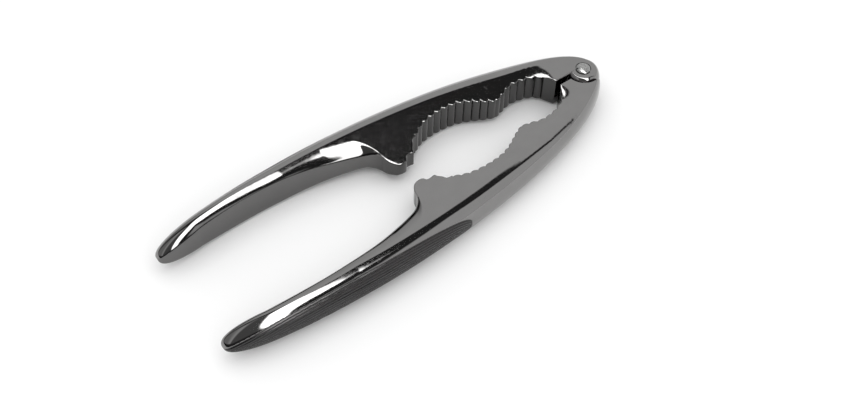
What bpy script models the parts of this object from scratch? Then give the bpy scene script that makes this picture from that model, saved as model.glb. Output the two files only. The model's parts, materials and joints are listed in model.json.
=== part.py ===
"""Lever nutcracker: two castings of one die-cast lever, one flipped over, turning on a riveted hinge.

Metres, +Z up. The tool lies flat with its handles a little open. The hinge axis stands upright at the
right-hand end, both levers run towards -X, and the near lever is on the -Y side. The origin is under the
middle of the tool, on the surface that it lies on.

A lever is drawn in its own plan: "along" is the distance from the hinge axis towards the tip, "out" the
distance from the line that halves the opening. Its section is the same above and below the middle plane.
"""

import math

import bmesh
import bpy
import numpy as np

# Lengths along a lever, from the hinge axis
SMALL_JAW_START = 0.0140
CUSP_AT = 0.0338
LARGE_JAW_END = 0.0663
NOSE_LENGTH = 0.0146
HANDLE_LENGTH = 0.0831

# Distances out from the halving line, at rest
MOUTH_GAP = 0.0010
SMALL_JAW_OUT = 0.0091
CUSP_OUT = 0.0067
LARGE_JAW_OUT = 0.0139
NUB_OUT = 0.0043
THROAT_OUT = 0.0099
HANDLE_IN = 0.0207
HANDLE_WIDTH = 0.0090
TIP_OUT = 0.0206

# Section of a lever
BODY_HALF = 0.0072
KNUCKLE_HALF = 0.0064
RIM_WIDTH = 0.0058
END_RIM_WIDTH = 0.0022
WEB_SLOPE = 0.25
THROAT_WALL_HALF = 0.0028
HANDLE_WALL_PART = 0.80
TIP_WALL_PART = 0.55
HANDLE_ROLL = 0.0060
EDGE_ROUND = 0.0003

# Form of the outer edge and of the tip
FRONT_POWER = 1.84
BACK_DROP = 0.18
BACK_POWER = 1.92
TIP_ROUND = 0.0140
TIP_WIDTH_PART = 0.83
TIP_POWER = 0.61
TAPER_LENGTH = 0.0320
TAPER_POWER = 3.1

# Stretches over which one section turns into the next
KNUCKLE_TO_BODY = 0.055
RIM_GROWS = (-0.004, 0.030)
WEB_TILTS = (0.004, 0.018)
ROLL_STARTS = 0.0005
ROLL_FULL = 0.009
WALL_GROWS = (0.008, 0.042)
WALL_FALLS = (0.034, 0.004)
PANEL_LENGTH = 0.0024
PANEL_HEIGHT = 0.0040

# Shapes of the runs: how far along each run, and how far out as a share of its rise or in metres
SMALL_JAW_SHAPE = ((0.15, 0.57), (0.33, 0.86), (0.52, 1.0), (0.68, 0.9))
SMALL_JAW_CLOSES = (0.84, 0.0008)
LARGE_JAW_SHAPE = ((0.10, 0.21), (0.19, 0.45), (0.30, 0.73), (0.42, 0.92), (0.58, 1.0), (0.73, 0.97), (0.87, 0.83))
LARGE_JAW_LIP = 0.52
NOSE_SHAPE = ((0.14, 0.0057), (0.20, 0.0040), (0.27, 0.0027), (0.30, 0.0016), (0.40, 0.0018), (0.51, 0.0017),
              (0.57, 0.0003), (0.68, 0.0), (0.80, 0.0005), (0.89, 0.0017), (0.965, 0.0035))
HANDLE_SHAPE = ((0.016, 0.20), (0.05, 0.39), (0.104, 0.53), (0.188, 0.70), (0.272, 0.84), (0.38, 0.946),
                (0.50, 1.0), (0.633, 0.99), (0.777, 0.91))
FAN_RADIUS = 0.0010
FAN_SPREAD = 1.2
FAN_INNER = (0.3, 0.6, 0.85, 1.0)
FAN_OUTER = (0.35, 0.65, 0.87, 1.02)

# Where each run ends on the outer edge, past its end on the inner edge
PANEL_AHEAD = 0.0022
SMALL_JAW_AHEAD = 0.0010
LARGE_JAW_AHEAD = 0.0005
NOSE_AHEAD = 0.0034

# Bounds that keep one part of a section clear of the next
RIM_PART = 0.62
ROLL_PART = 0.95
WALL_PART = 0.95
CREST_PART = 0.9
LIP = 0.0002

# Teeth
TOOTH_PITCH = 0.0030
TOOTH_DEPTH = 0.0007
TOOTH_ROUND = 0.8

# Hinge
EAR_RADIUS = 0.0065
JOINT_GAP = 0.0003
RIVET_RADIUS = 0.0020
RIVET_HEAD_RADIUS = 0.0026
RIVET_HEAD_RISE = 0.0007
HEAD_RECESS = 0.0006
BELOW_FACE = 0.0010
CUT_REACH = 0.02
ROUND_SEGMENTS = 48
HALF_STEP = 0.5

# Modelling
ENLARGED = 1000
SMALLEST = 2e-6

# Finish
PLATING = ((0.10, 0.10, 0.105), 0.12)
STEEL = ((0.55, 0.55, 0.56), 0.25)
CASTING_CREASE = 32
RIVET_CREASE = 40

NOSE_END = LARGE_JAW_END + NOSE_LENGTH
TIP_END = NOSE_END + HANDLE_LENGTH
OUTER_MAX = HANDLE_IN + HANDLE_WIDTH
OUTER_MAX_AT = 0.64 * TIP_END
TIP_START = TIP_END - TIP_ROUND
MID_Z = BODY_HALF
HINGE_X = (TIP_END - EAR_RADIUS) / 2
SHOULDER_RADIUS = EAR_RADIUS + JOINT_GAP
SHOULDER_END = -0.45 * EAR_RADIUS
END_REACH = EAR_RADIUS - 0.0002
FLAT_TOP = KNUCKLE_HALF - 0.00002


def smooth_step(value, start, end):
    """0 before start, 1 after end, and a smooth rise between them."""
    share = np.clip((np.asarray(value, float) - start) / (end - start), 0, 1)
    return share * share * (3 - 2 * share)


def spline(points, samples):
    """Even samples along a Catmull-Rom curve through the points."""
    points = np.array(points, float)
    padded = np.vstack([2 * points[0] - points[1], points, 2 * points[-1] - points[-2]])
    fine = []
    for a, b, c, d in zip(padded, padded[1:], padded[2:], padded[3:]):
        t = np.linspace(0, 1, 24, endpoint=False)[:, None]
        fine.append(0.5 * (2 * b + (c - a) * t + (2 * a - 5 * b + 4 * c - d) * t**2
                           + (3 * b - a - 3 * c + d) * t**3))
    fine = np.vstack(fine + [points[-1:]])
    run = np.r_[0, np.cumsum(np.hypot(*np.diff(fine, axis=0).T))]
    at = np.linspace(0, run[-1], samples)
    return np.stack([np.interp(at, run, fine[:, axis]) for axis in (0, 1)], axis=1)


def toothed(points):
    """A jaw edge with broad rounded teeth and narrow V grooves, each as deep as TOOTH_DEPTH."""
    length = np.hypot(*np.diff(spline(points, 200), axis=0).T).sum()
    teeth = max(2, round(length / TOOTH_PITCH))
    edge = spline(points, 3 * teeth + 1)
    phase = np.linspace(HALF_STEP, teeth + HALF_STEP, len(edge))
    depth = TOOTH_DEPTH * (1 - np.abs(np.cos(math.pi * phase)) ** TOOTH_ROUND)
    along = np.gradient(edge, axis=0)
    normal = np.stack([-along[:, 1], along[:, 0]], axis=1) / np.hypot(*along.T)[:, None]
    return edge + normal * depth[:, None]


def outer_edge(along):
    """How far out the outer edge lies: a blunt ellipse from the knuckle, then a long easy curve to the tip."""
    span = OUTER_MAX_AT + END_REACH
    share = np.clip((OUTER_MAX_AT - along) / span, 0, 1)
    front = OUTER_MAX * np.sqrt(np.maximum(0, 1 - share**FRONT_POWER))
    past = np.maximum(0, along - OUTER_MAX_AT) / (TIP_END - OUTER_MAX_AT)
    return front - BACK_DROP * OUTER_MAX * past**BACK_POWER


def inner_edge():
    """The runs of the inner edge from the hinge to where the tip starts to round, with real corners between them."""
    mouth = (SMALL_JAW_START - PANEL_LENGTH, MOUTH_GAP)
    jaw_start = (SMALL_JAW_START, MOUTH_GAP + PANEL_HEIGHT)
    small = CUSP_AT - SMALL_JAW_START
    small_jaw = [jaw_start]
    for share, rise in SMALL_JAW_SHAPE:
        out = jaw_start[1] + rise * (SMALL_JAW_OUT - jaw_start[1])
        small_jaw.append((SMALL_JAW_START + share * small, out))
    share, above = SMALL_JAW_CLOSES
    small_jaw += [(SMALL_JAW_START + share * small, CUSP_OUT + above), (CUSP_AT, CUSP_OUT)]
    large = LARGE_JAW_END - CUSP_AT
    large_jaw = [(CUSP_AT, CUSP_OUT)]
    for share, rise in LARGE_JAW_SHAPE:
        large_jaw.append((CUSP_AT + share * large, CUSP_OUT + rise * (LARGE_JAW_OUT - CUSP_OUT)))
    jaw_end = (LARGE_JAW_END, CUSP_OUT + LARGE_JAW_LIP * (LARGE_JAW_OUT - CUSP_OUT))
    large_jaw.append(jaw_end)
    nose = [jaw_end]
    for share, out in NOSE_SHAPE:
        nose.append((LARGE_JAW_END + share * NOSE_LENGTH, NUB_OUT + out))
    nose_end = (NOSE_END, THROAT_OUT)
    nose.append(nose_end)
    rise = HANDLE_IN - THROAT_OUT
    handle = [nose_end]
    for share, part in HANDLE_SHAPE:
        handle.append((NOSE_END + share * HANDLE_LENGTH, THROAT_OUT + part * rise))
    handle.append((TIP_START, float(outer_edge(TIP_START)) - TIP_WIDTH_PART * HANDLE_WIDTH))
    return mouth, jaw_start, small_jaw, large_jaw, nose, handle


def hinge_fan(mouth):
    """Rays round the hinge axis: inner ends on a small circle, outer ends on the outer edge."""
    angles = np.radians(np.linspace(180, 90, 9))
    inner = FAN_RADIUS * np.stack([np.cos(angles), np.sin(angles)], axis=1)
    along = -END_REACH * np.cos(np.linspace(0, math.pi / 2, 9)) ** FAN_SPREAD
    outer = np.stack([along, outer_edge(along)], axis=1)
    straight = np.array([(share * mouth[0], MOUTH_GAP) for share in FAN_INNER])
    beyond = np.array(FAN_OUTER) * mouth[0]
    outer_straight = np.stack([beyond, outer_edge(beyond)], axis=1)
    return np.vstack([inner, straight]), np.vstack([outer, outer_straight])


def plan_chords():
    """Matching points on the inner and the outer edge, from the knuckle's end to the tip."""
    mouth, jaw_start, small_jaw, large_jaw, nose, handle = inner_edge()
    inner, outer = hinge_fan(mouth)
    inner, outer = [inner], [outer]
    reached = FAN_OUTER[-1] * mouth[0]
    runs = (
        (spline([mouth, jaw_start], 4), SMALL_JAW_START + PANEL_AHEAD),
        (toothed(small_jaw), CUSP_AT + SMALL_JAW_AHEAD),
        (toothed(large_jaw), LARGE_JAW_END + LARGE_JAW_AHEAD),
        (spline(nose, 20), NOSE_END + NOSE_AHEAD),
        (spline(handle, 19), TIP_START),
    )
    for edge, end in runs:
        along = np.linspace(reached, end, len(edge))[1:]
        inner.append(edge[1:])
        outer.append(np.stack([along, outer_edge(along)], axis=1))
        reached = end
    half = (outer[-1][-1, 1] - inner[-1][-1, 1]) / 2
    middle = outer[-1][-1, 1] - half
    turn = np.linspace(0, math.pi / 2, 9)[1:-1]
    along = TIP_START + (TIP_END - TIP_START) * np.sin(turn)
    centre = middle + (TIP_OUT - middle) * np.sin(turn)
    width = half * np.cos(turn) ** TIP_POWER
    inner.append(np.stack([along, centre - width], axis=1))
    outer.append(np.stack([along, centre + width], axis=1))
    return np.vstack(inner), np.vstack(outer)


def crest_half(along):
    """Half the thickness at the crest: low at the knuckle, full at the jaws, and round at the tip."""
    body = KNUCKLE_HALF + (BODY_HALF - KNUCKLE_HALF) * smooth_step(along, 0.0, KNUCKLE_TO_BODY)
    past = np.clip((along - TIP_END + TAPER_LENGTH) / TAPER_LENGTH, 0, 1)
    return body * np.sqrt(np.maximum(0, 1 - past**TAPER_POWER))


def section(inner, outer, before, after):
    """One ring of the lever: half of it as (share along the chord, height), inner edge to outer edge."""
    chord = outer - inner
    run = after - before
    normal = np.array([-run[1], run[0]]) / np.hypot(*run)
    reach = float(chord @ normal)
    along = float(outer[0])
    crest = float(crest_half(along))
    rim = END_RIM_WIDTH + (RIM_WIDTH - END_RIM_WIDTH) * float(smooth_step(along, *RIM_GROWS))
    rim = min(rim, RIM_PART * reach)
    slope = WEB_SLOPE * float(smooth_step(along, *WEB_TILTS))
    handle = float(smooth_step(along, NOSE_END + ROLL_STARTS, NOSE_END + ROLL_FULL))
    roll = EDGE_ROUND + (HANDLE_ROLL - EDGE_ROUND) * handle
    roll = min(roll, ROLL_PART * (reach - rim))
    edge_height = crest - slope * (reach - rim)
    grown = float(smooth_step(along, NOSE_END + WALL_GROWS[0], NOSE_END + WALL_GROWS[1]))
    falls = float(smooth_step(along, TIP_END - WALL_FALLS[0], TIP_END - WALL_FALLS[1]))
    wall_part = (HANDLE_WALL_PART + (TIP_WALL_PART - HANDLE_WALL_PART) * falls) * crest
    wall = THROAT_WALL_HALF + (wall_part - THROAT_WALL_HALF) * grown
    wall = edge_height - LIP + (wall - edge_height + LIP) * handle
    wall = min(wall, WALL_PART * edge_height, CREST_PART * crest)
    places = [roll * (1 - math.cos(turn)) for turn in np.linspace(0, math.pi / 2, 3)]
    places += list(np.linspace(roll, reach - rim, 3)[1:])
    places += [reach - rim + rim * math.sin(turn) for turn in np.linspace(0, math.pi / 2, 6)[1:]]
    heights = []
    for place in places:
        left = reach - place
        if left >= rim:
            height = crest - slope * (left - rim)
        else:
            height = crest * math.sqrt(max(0.0, 1 - ((rim - left) / rim) ** 2))
        if place < roll:
            height = wall + (height - wall) * math.sqrt(1 - (1 - place / roll) ** 2)
        heights.append(height)
    return np.array(places) / reach, np.array(heights)


def to_world(plan, height):
    """Plan points of the far lever in world axes."""
    return np.stack([HINGE_X - plan[:, 0], plan[:, 1], MID_Z + height], axis=1)


def lever_arm_mesh():
    """The lever as rings swept from the knuckle's end to the tip, without the ear."""
    inner, outer = plan_chords()
    rings = []
    for index in range(len(inner)):
        before = outer[max(index - 1, 0)]
        after = outer[min(index + 1, len(inner) - 1)]
        share, height = section(inner[index], outer[index], before, after)
        plan = inner[index] + share[:, None] * (outer[index] - inner[index])
        top = to_world(plan, height)
        bottom = to_world(plan[:-1], -height[:-1])[::-1]
        rings.append(np.vstack([top, bottom]))
    tip = to_world(np.array([[TIP_END, TIP_OUT]]), np.zeros(1))
    count = len(rings[0])
    points = np.vstack(rings + [tip])
    faces = [list(range(count))[::-1]]
    for ring in range(len(rings) - 1):
        for k in range(count):
            a, b = ring * count + k, ring * count + (k + 1) % count
            faces.append([a, b, b + count, a + count])
    last = (len(rings) - 1) * count
    for k in range(count):
        faces.append([last + k, last + (k + 1) % count, len(points) - 1])
    mesh = bpy.data.meshes.new("lever_arm")
    mesh.from_pydata([tuple(point) for point in points], [], faces)
    return mesh


def turned(name, profile, segments=ROUND_SEGMENTS):
    """A closed solid turned round the hinge axis from (radius, height over the middle plane) pairs, top to bottom."""
    build = bmesh.new()
    rings = []
    for radius, height in profile:
        if radius == 0:
            rings.append([build.verts.new((HINGE_X, 0, MID_Z + height))])
            continue
        angles = [2 * math.pi * (k + HALF_STEP) / segments for k in range(segments)]
        rings.append([build.verts.new((HINGE_X + radius * math.cos(a), radius * math.sin(a), MID_Z + height))
                      for a in angles])
    for upper, lower in zip(rings, rings[1:]):
        for k in range(segments):
            ring = [upper[k % len(upper)], lower[k % len(lower)],
                    lower[(k + 1) % len(lower)], upper[(k + 1) % len(upper)]]
            corners = list(dict.fromkeys(ring))
            build.faces.new(corners)
    bmesh.ops.recalc_face_normals(build, faces=build.faces)
    mesh = bpy.data.meshes.new(name)
    build.to_mesh(mesh)
    build.free()
    return mesh


def add_object(name, mesh, material=None):
    obj = bpy.data.objects.new(name, mesh)
    bpy.context.scene.collection.objects.link(obj)
    if material:
        mesh.materials.append(material)
    return obj


def helper(name, mesh):
    """A solid that only cuts or joins others."""
    obj = add_object(name, mesh)
    obj.hide_render = True
    obj.display_type = "WIRE"
    return obj


def boolean(obj, other, operation):
    modifier = obj.modifiers.new(other.name, "BOOLEAN")
    modifier.operation = operation
    modifier.solver = "EXACT"
    modifier.object = other


def ear_profile():
    """The ear's form: flat on top, its rim a quarter ellipse, and deeper than the ear, whose inner face is cut."""
    low = JOINT_GAP / 2
    top = FLAT_TOP
    profile = [(0, top)]
    for turn in np.linspace(0, math.pi / 2, 8):
        height = low + (top - low) * math.cos(turn)
        profile.append((EAR_RADIUS - END_RIM_WIDTH * (1 - math.sin(turn)), height))
    return profile + [(EAR_RADIUS, -BELOW_FACE), (0, -BELOW_FACE)]


def round_cutter(name, radius, low, high):
    return helper(name, turned(name, [(0, high), (radius, high), (radius, low), (0, low)]))


def box_cutter(name, low, high):
    build = bmesh.new()
    bmesh.ops.create_cube(build, size=1)
    middle = [(a + b) / 2 for a, b in zip(low, high)]
    size = [b - a for a, b in zip(low, high)]
    bmesh.ops.scale(build, vec=size, verts=build.verts)
    bmesh.ops.translate(build, vec=middle, verts=build.verts)
    mesh = bpy.data.meshes.new(name)
    build.to_mesh(mesh)
    build.free()
    return helper(name, mesh)


def hinge_tools():
    """What shapes the knuckle of the far lever: its ear, room for the other ear, the rivet's hole and recess."""
    far = CUT_REACH
    shank = RIVET_RADIUS + JOINT_GAP
    recess = RIVET_HEAD_RADIUS + JOINT_GAP
    ear = helper("ear_form", turned("ear_form", ear_profile()))
    room = round_cutter("ear_room", SHOULDER_RADIUS, -far, JOINT_GAP / 2)
    end = box_cutter("end_room", (HINGE_X - SHOULDER_END, -far, MID_Z - far),
                     (HINGE_X + far, far, MID_Z + JOINT_GAP))
    hole = round_cutter("rivet_hole", shank, -far, far)
    seat = round_cutter("rivet_seat", recess, KNUCKLE_HALF - HEAD_RECESS, far)
    return (ear, "UNION"), (end, "DIFFERENCE"), (room, "DIFFERENCE"), (hole, "DIFFERENCE"), (seat, "DIFFERENCE")


def enlarged(mesh, scale):
    """Makes the mesh this many times larger, out of flat triangles with no corner twice in one place."""
    build = bmesh.new()
    build.from_mesh(mesh)
    bmesh.ops.scale(build, vec=(scale, scale, scale), verts=build.verts)
    bmesh.ops.remove_doubles(build, verts=build.verts, dist=SMALLEST * max(scale, 1))
    bmesh.ops.triangulate(build, faces=build.faces)
    build.to_mesh(mesh)
    build.free()


def lever_mesh(name, tools):
    """The finished casting, baked so that both levers are made from one and the same form.

    The cuts are made a thousand times larger, where the solver's own tolerance is far below a real edge.
    """
    form = add_object("lever_form", lever_arm_mesh())
    for obj in [form] + [tool for tool, _operation in tools]:
        enlarged(obj.data, ENLARGED)
    for tool, operation in tools:
        boolean(form, tool, operation)
        graph = bpy.context.evaluated_depsgraph_get()
        form.data = bpy.data.meshes.new_from_object(form.evaluated_get(graph))
        form.modifiers.clear()
        enlarged(form.data, 1)
    mesh = form.data
    mesh.name = name
    enlarged(mesh, 1 / ENLARGED)
    bpy.data.objects.remove(form)
    mesh.shade_smooth()
    mesh.set_sharp_from_angle(angle=math.radians(CASTING_CREASE))
    return mesh


def rivet_mesh():
    """A shank with a low domed head above and a formed tail of the same shape below, both in their recesses."""
    under = KNUCKLE_HALF - HEAD_RECESS + JOINT_GAP
    rim = KNUCKLE_HALF
    dome = KNUCKLE_HALF + RIVET_HEAD_RISE
    upper = [(0, dome)]
    for turn in np.linspace(0, math.pi / 2, 7)[1:]:
        upper.append((RIVET_HEAD_RADIUS * math.sin(turn), rim + (dome - rim) * math.cos(turn)))
    upper += [(RIVET_HEAD_RADIUS, under), (RIVET_RADIUS, under)]
    lower = [(radius, -height) for radius, height in reversed(upper)]
    return turned("hinge_rivet", upper + lower, 32)


def plated_metal(name, colour, roughness):
    material = bpy.data.materials.new(name)
    material.use_nodes = True
    shader = material.node_tree.nodes["Principled BSDF"]
    shader.inputs["Base Color"].default_value = (*colour, 1)
    shader.inputs["Metallic"].default_value = 1.0
    shader.inputs["Roughness"].default_value = roughness
    return material


def mark_pivot(name):
    """An empty on the hinge axis, which the near lever turns about."""
    pivot = bpy.data.objects.new(name, None)
    pivot.location = (HINGE_X, 0, MID_Z)
    bpy.context.scene.collection.objects.link(pivot)
    return pivot


def flipped(mesh, name):
    """A copy turned half round about the tool's long middle line, with its points measured from the hinge axis."""
    copy = mesh.copy()
    copy.name = name
    points = np.empty(len(copy.vertices) * 3)
    copy.vertices.foreach_get("co", points)
    points = points.reshape(-1, 3) - (HINGE_X, 0, MID_Z)
    points *= (1, -1, -1)
    copy.vertices.foreach_set("co", points.ravel())
    copy.update()
    return copy


def build():
    for obj in list(bpy.data.objects):
        bpy.data.objects.remove(obj)
    plating = plated_metal("black nickel plating", *PLATING)
    steel = plated_metal("bright rivet steel", *STEEL)
    tools = hinge_tools()
    casting = lever_mesh("lever_far", tools)
    add_object("lever_far", casting, plating)
    near = add_object("lever_near", flipped(casting, "lever_near"))
    near.parent = mark_pivot("hinge_pivot")
    rivet = rivet_mesh()
    rivet.shade_smooth()
    rivet.set_sharp_from_angle(angle=math.radians(RIVET_CREASE))
    add_object("hinge_rivet", rivet, steel)
    for tool, _operation in tools:
        bpy.data.objects.remove(tool)


build()
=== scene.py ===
"""Finished surfaces, plating and studio for a lever nutcracker with a riveted hinge.

Both levers are one casting. A lever is drawn in its own plan, in millimetres: "along" is the distance from
the hinge axis towards the tip, and "out" the distance from the line that halves the opening. Its section
is the same above and below the middle plane. The near lever is the same form turned over.
"""

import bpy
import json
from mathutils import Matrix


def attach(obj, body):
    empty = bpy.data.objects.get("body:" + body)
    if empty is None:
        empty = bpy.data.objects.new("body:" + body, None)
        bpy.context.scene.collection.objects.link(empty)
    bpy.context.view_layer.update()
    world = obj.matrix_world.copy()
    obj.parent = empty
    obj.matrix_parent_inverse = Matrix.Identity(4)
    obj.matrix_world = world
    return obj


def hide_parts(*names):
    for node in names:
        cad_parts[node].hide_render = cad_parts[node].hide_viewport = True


bl_info = {
    "name": "Lever Nutcracker",
    "version": (1, 0, 0),
    "blender": (4, 5, 0),
    "location": "View3D > Sidebar > Nutcracker",
    "description": "Builds a plated lever nutcracker with toothed jaws, grooved grips and a riveted hinge",
    "category": "Add Mesh",
}

import json
import math

import bmesh
import bpy
import numpy as np
from bpy.props import FloatProperty, FloatVectorProperty, PointerProperty
from mathutils import Matrix, Vector

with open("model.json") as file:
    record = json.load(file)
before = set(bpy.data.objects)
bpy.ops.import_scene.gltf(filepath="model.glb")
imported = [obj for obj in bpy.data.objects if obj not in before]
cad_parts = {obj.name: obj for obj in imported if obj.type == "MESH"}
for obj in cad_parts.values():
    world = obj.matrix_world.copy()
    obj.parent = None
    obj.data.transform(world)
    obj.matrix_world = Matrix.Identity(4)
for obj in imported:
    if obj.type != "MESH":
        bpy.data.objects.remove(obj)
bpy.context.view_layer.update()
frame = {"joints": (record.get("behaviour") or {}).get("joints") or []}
HINGE = np.array(frame["joints"][0]["pos_m"], float)

MM = 0.001
LOOK_ACROSS = Vector((0.6286, 0.7777, 0.0))
LOOK_RIGHT = Vector((0.7777, -0.6286, 0.0))

# Form of a lever's edges. A shape is a run of (share of the length, share of the rise) points.
WIDEST_SHARE = 0.64
END_INSET = 0.2
FRONT_POWER = 1.84
BACK_DROP = 0.18
BACK_POWER = 1.92
TOOTH_ROUND = 0.8
PANEL_LENGTH = 2.4
PANEL_HEIGHT = 4.0
SMALL_JAW_SHAPE = ((0.15, 0.57), (0.33, 0.86), (0.52, 1.0), (0.68, 0.9))
SMALL_JAW_CLOSES = (0.16, 0.8)
LARGE_JAW_SHAPE = ((0.0, 0.0), (0.10, 0.21), (0.19, 0.45), (0.30, 0.73), (0.42, 0.92), (0.58, 1.0),
                   (0.73, 0.97), (0.87, 0.83), (1.0, 0.52))
NOSE_SHAPE = ((0.14, 5.7), (0.20, 4.0), (0.27, 2.7), (0.30, 1.6), (0.40, 1.8), (0.51, 1.7), (0.57, 0.3),
              (0.68, 0.0), (0.80, 0.5), (0.89, 1.7), (0.965, 3.5))
HANDLE_SHAPE = ((0.0, 0.0), (0.016, 0.20), (0.05, 0.39), (0.104, 0.53), (0.188, 0.70), (0.272, 0.84),
                (0.38, 0.946), (0.50, 1.0), (0.633, 0.99), (0.777, 0.91))
TIP_WIDTH_PART = 0.83
TIP_POWER = 0.61

# Rows of points: how many each run gets, and how far past its inner end its outer end lies, in millimetres
FAN_ROWS, MOUTH_ROWS, LEAD_ROWS, PANEL_ROWS, TOOTH_ROWS, NOSE_ROWS, HANDLE_ROWS, TIP_ROWS = (
    25, 16, 5, 9, 12, 76, 150, 44)
FAN_SPREAD = 1.2
MOUTH_FROM, MOUTH_TO, MOUTH_AHEAD = 0.1, 0.85, 0.02
LEAD_AHEAD = 1.02
PANEL_AHEAD, SMALL_JAW_AHEAD, LARGE_JAW_AHEAD, NOSE_AHEAD = 2.2, 1.0, 0.5, 3.4
ROLL_COLUMNS, WEB_COLUMNS, RIM_COLUMNS = 10, 17, 53
WALL_STEPS = (0.0, 0.34, 0.67, 1.0)
WEB_CROWDING = 1.5

# Stretches along the lever over which its section changes, in millimetres
BODY_GROWS = (0, 55)
TAPER_LENGTH, TAPER_POWER = 32, 3.1
RIM_GROWS = (-4, 30)
WEB_TILTS = (4, 18)
ROLL_GROWS = (0.5, 9)
WALL_GROWS = (8, 42)
WALL_FALLS = (34, 4)
WALL_DROP = 0.25
WEB_TRUSTED = (0.4, 3.0)
RIM_PART, ROLL_PART, WALL_PART, CREST_PART = 0.62, 0.95, 0.95, 0.9
WALL_LIP = 0.2
BATCH = 4000

# Form of the grip panel
LEAF_RISE, LEAF_FALL = 0.28, 0.5
PANEL_EDGE = 0.22
PANEL_SUNK = 0.45
DEPTH_FADES, GRIP_FADES = (0.2, 2.0), (0.1, 0.8)

# Hinge solids, in millimetres
EAR_SEGMENTS, RIVET_SEGMENTS = 160, 96
EAR_CURVE, DOME_CURVE = 18, 28
FLAT_INSET = 0.02
EAR_BELOW = 1.0
SHOULDER_PART = 0.45
CUT_REACH = 20.0
HEAD_BEVEL = 0.08
DOME_POWER = 0.9
SMALLEST, ON_PLANE, SEAM = 2e-5, 1e-3, 1e-2
LEVER_CREASE, RIVET_CREASE = 30, 40

# Mirrored studio: lines are (slope, offset) in degrees, fades are (from, to) in degrees
BAND_LINE, BAND_HIGHEST = (0.5, 65.5), 84.5
BAND_NARROWS_FROM, BAND_NARROWS = 12.0, 0.12
BAND_FADE = (11.5, 9.5)
BOX_RIGHT_LINE, BOX_RIGHT_FADE = (0.28, -2.4), (0.5, -1.0)
BOX_FRONT_LINE, BOX_FRONT_FADE = (1.2, 63.6), (-0.5, 1.5)
BOX_LEFT_LINE, BOX_LEFT_FADE = (0.44, -40.0), (-1.0, 2.0)
BOX_BACK_FADE, BOX_CORNER_FADE = (168.0, 162.0), (-9.0, -6.0)
SHADE_RISES, SHADE_FADE, SHADE_SIDE, SHADE_DEPTH = (62.0, 72.0), (1.0, -1.0), (-26.0, -16.0), 0.85
STRIP_STARTS, STRIP_ENDS, STRIP_RISES = (-1.0, 0.5), (12.0, 8.0), (0.0, 6.0)
BACK_DARK, BACK_DARK_SIDE = (150.0, 160.0), (58.0, 50.0)
WALL_LIGHT_SIDE, WALL_LIGHT = (-50.0, -12.0), (0.40, 0.95)
DARKENING, BOX_LIGHT, EVEN_LIGHT = 0.95, 6.0, 0.92

# Stage, in metres and watts
FLOOR_REACH, FLOOR_STEPS = 4, 41
FILL_HEIGHT, FILL_SIZE, FILL_WATTS = 2.2, 3.0, 22.0
SENSOR_WIDTH, CLIP_START = 36.0, 0.01
CAMERA_PLACE = Vector((-0.17693, -0.23798, 0.40109))
CAMERA_RIGHT = Vector((0.80654, -0.59064, 0.02528))
CAMERA_FORWARD = Vector((0.36401, 0.46247, -0.80847))


def length(name, default, description):
    """A size in metres that a user can change."""
    return FloatProperty(name=name, default=default, description=description, unit="LENGTH",
                         subtype="DISTANCE", precision=5, min=0.0)


def share(name, default, description):
    """A plain number between 0 and 1."""
    return FloatProperty(name=name, default=default, description=description, subtype="FACTOR",
                         min=0.0, max=1.0)


def colour(name, default, description):
    """A linear colour."""
    return FloatVectorProperty(name=name, default=default, description=description, subtype="COLOR",
                               size=3, min=0.0, max=1.0)


class LeverPlan(bpy.types.PropertyGroup):
    """Sizes of a lever seen from above."""
    mouth: length("Mouth gap", 0.0010, "Half the gap between the levers beside the hinge")
    small_start: length("Small jaw start", 0.0140, "Where the small jaw starts, along the lever")
    cusp_at: length("Cusp place", 0.0338, "Where the cusp between the jaws stands, along the lever")
    large_end: length("Large jaw end", 0.0663, "Where the large jaw ends, along the lever")
    nose: length("Nose length", 0.0146, "Length of the nose past the large jaw")
    handle: length("Handle length", 0.0831, "Length of the handle past the nose")
    small_out: length("Small jaw depth", 0.0091, "How far out the small jaw reaches")
    cusp_out: length("Cusp height", 0.0067, "How far out the cusp stands")
    large_out: length("Large jaw depth", 0.0139, "How far out the large jaw reaches")
    nub_out: length("Nub height", 0.0043, "How far out the nose's nub stands")
    throat_out: length("Throat height", 0.0099, "How far out the throat behind the nose lies")
    handle_in: length("Handle inner side", 0.0207, "How far out the handle's inner side lies at most")
    handle_width: length("Handle width", 0.0090, "Width of the handle")
    tip_out: length("Tip place", 0.0206, "How far out the tip lies")
    tip_round: length("Tip rounding", 0.0140, "Length over which the tip rounds off")
    pitch: length("Tooth pitch", 0.0030, "Distance from one tooth to the next")
    depth: length("Tooth depth", 0.0007, "Depth of the groove between two teeth")


class LeverSection(bpy.types.PropertyGroup):
    """Sizes of a lever's cross section."""
    body_half: length("Half thickness", 0.0072, "Half the thickness at the crest of the body")
    knuckle_half: length("Knuckle half thickness", 0.0064, "Half the thickness at the knuckle")
    rim: length("Rim width", 0.0058, "Width of the rounded outer rim")
    end_rim: length("End rim width", 0.0022, "Width of the rounded rim at the knuckle's end")
    slope: share("Web slope", 0.25, "Fall of the web from the crest to the inner edge")
    crest_blend: length("Crest blend", 0.0011, "How softly the web turns into the rim")
    edge_round: length("Edge rounding", 0.0003, "Rounding of the jaws' upper and lower edges")
    handle_roll: length("Handle roll", 0.0060, "How far the handle's inner side rolls over")
    throat_wall: length("Throat wall", 0.0028, "Half height of the wall at the throat")
    wall_part: share("Handle wall", 0.80, "Height of the handle's inner wall, as a part of the crest")
    # How much less of the painted shade on the pockets' walls the handle's open inner wall gets.
    open_wall_shade_cut: share("Open wall", 0.4, "How much less of the pockets' finish the handle's wall has")


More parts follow.
